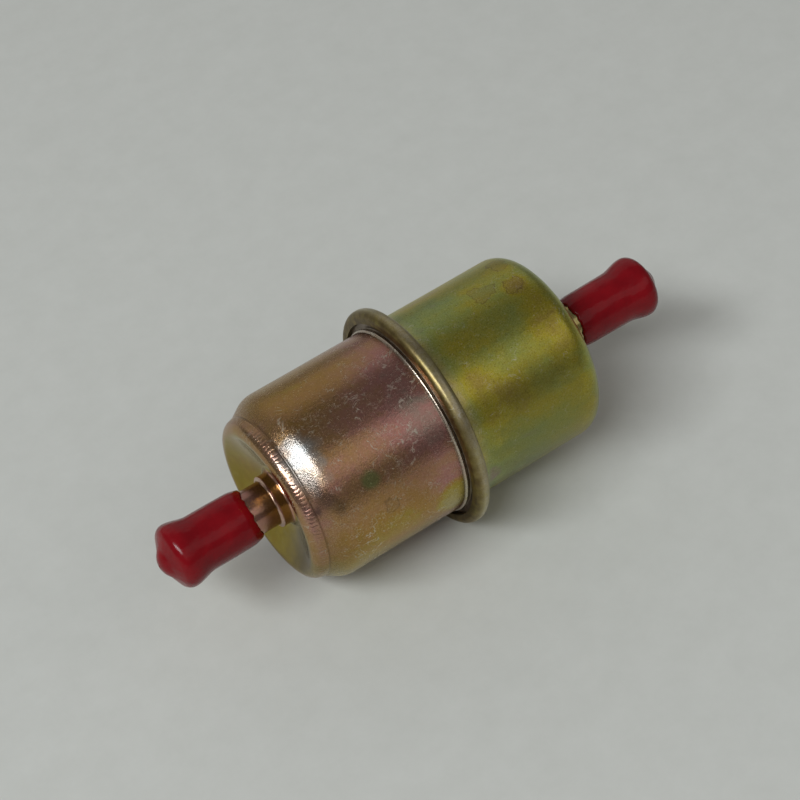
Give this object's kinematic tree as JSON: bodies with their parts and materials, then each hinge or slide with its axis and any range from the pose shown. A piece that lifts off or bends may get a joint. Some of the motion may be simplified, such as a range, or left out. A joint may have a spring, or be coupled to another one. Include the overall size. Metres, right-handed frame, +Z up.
{
  "type": "fuel filter",
  "caption": "Metal in-line fuel filter with a rolled centre seam, a hose tube at each end and red vinyl transit caps.",
  "frame": {"origin": "on the filter's axis at the middle of the rolled seam, which is the centre of its box", "axes": "+X along the axis in the direction of flow, from inlet to outlet; +Z up"},
  "size_m": [0.1196, 0.0482, 0.0482],
  "materials": {
    "inlet_plating": "satin, iridescent yellow zinc plating turned copper-pink",
    "outlet_plating": "satin, iridescent yellow-green zinc plating",
    "tube_plating": "semi-bright yellow zinc plating",
    "braze": "bright",
    "red_vinyl": "glossy dipped vinyl",
    "nitrile_rubber": "matte",
    "filter_paper": "resin-treated, matte",
    "tinplate": "bright tinned",
    "adhesive": "cured plastisol",
    "spring_steel": "bright drawn wire"
  },
  "bodies": {
    "filter": {"inlet_cup": "inlet_plating", "outlet_cup": "outlet_plating", "seam_gasket": "nitrile_rubber", "inlet_tube": "tube_plating", "outlet_tube": "tube_plating", "inlet_braze_ring": "braze", "outlet_braze_ring": "braze", "filter_paper": "filter_paper", "pleat_seam_clip": "tinplate", "core_tube": "tinplate", "closed_end_plate": "tinplate", "open_end_plate": "tinplate", "closed_end_potting": "adhesive", "open_end_potting": "adhesive", "outlet_seal": "nitrile_rubber", "element_spring": "spring_steel", "spring_seat": "tinplate"},
    "inlet_cap": {"inlet_dust_cap": "red_vinyl"},
    "outlet_cap": {"outlet_dust_cap": "red_vinyl"}
  },
  "joints": [
    {"name": "inlet_cap_slide", "type": "slide", "parent": "filter", "child": "inlet_cap", "axis": [-1, 0, 0], "range_m": [0, 0.03], "deforming": ["inlet_dust_cap"]},
    {"name": "outlet_cap_slide", "type": "slide", "parent": "filter", "child": "outlet_cap", "axis": [1, 0, 0], "range_m": [0, 0.03], "deforming": ["outlet_dust_cap"]}
  ]
}
